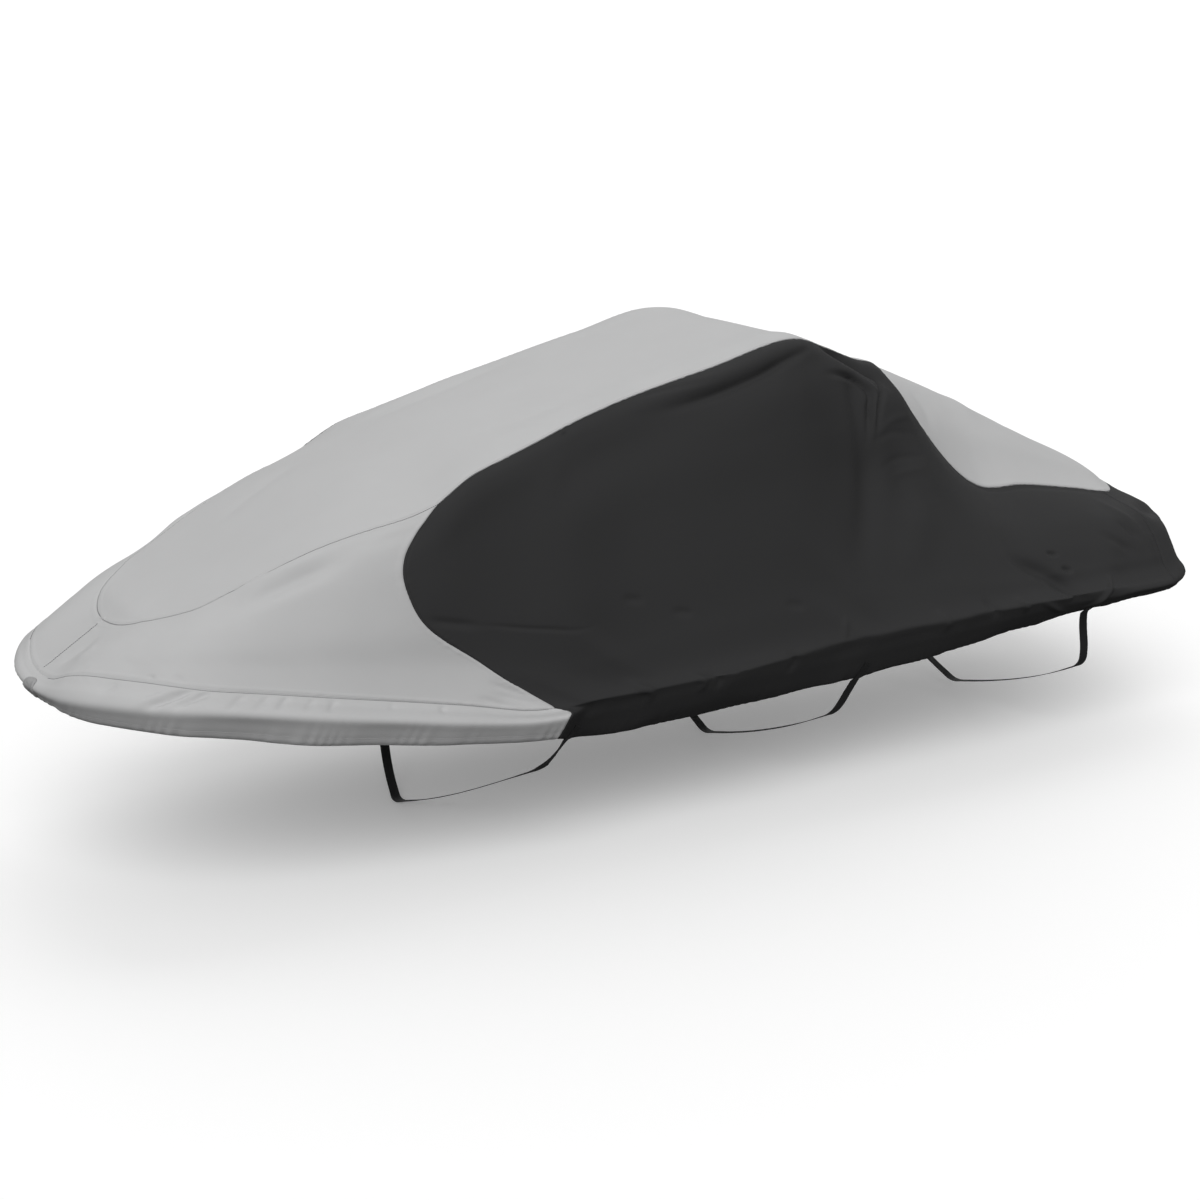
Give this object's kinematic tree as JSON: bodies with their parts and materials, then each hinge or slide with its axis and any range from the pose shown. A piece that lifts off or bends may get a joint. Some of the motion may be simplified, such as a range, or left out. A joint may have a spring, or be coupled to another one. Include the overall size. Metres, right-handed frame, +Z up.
{
  "type": "personal watercraft cover",
  "caption": "Fitted storage cover for a personal watercraft: grey top and bow, black sides and stern, drawn-in hem and webbing straps that pass under the hull.",
  "frame": {"origin": "on the centre line, at the underside of the top panel over the steering bars, where the craft carries the cover", "axes": "+X aft along the cover, +Y to starboard, +Z up"},
  "size_m": [3.2893, 1.1901, 1.1714],
  "materials": {
    "grey_cloth": "matt light grey woven polyester with a coated back",
    "black_cloth": "matt black woven polyester with a coated back",
    "black_webbing": "flat woven black webbing"
  },
  "bodies": {
    "root": {"top_panel": "grey_cloth", "bow_side_port": "grey_cloth", "bow_side_starboard": "grey_cloth", "bow_band": "grey_cloth", "side_port": "black_cloth", "side_starboard": "black_cloth", "stern_panel": "black_cloth", "nose_patch": "grey_cloth", "strap_front": "black_webbing", "strap_middle": "black_webbing", "strap_rear": "black_webbing"}
  },
  "joints": []
}
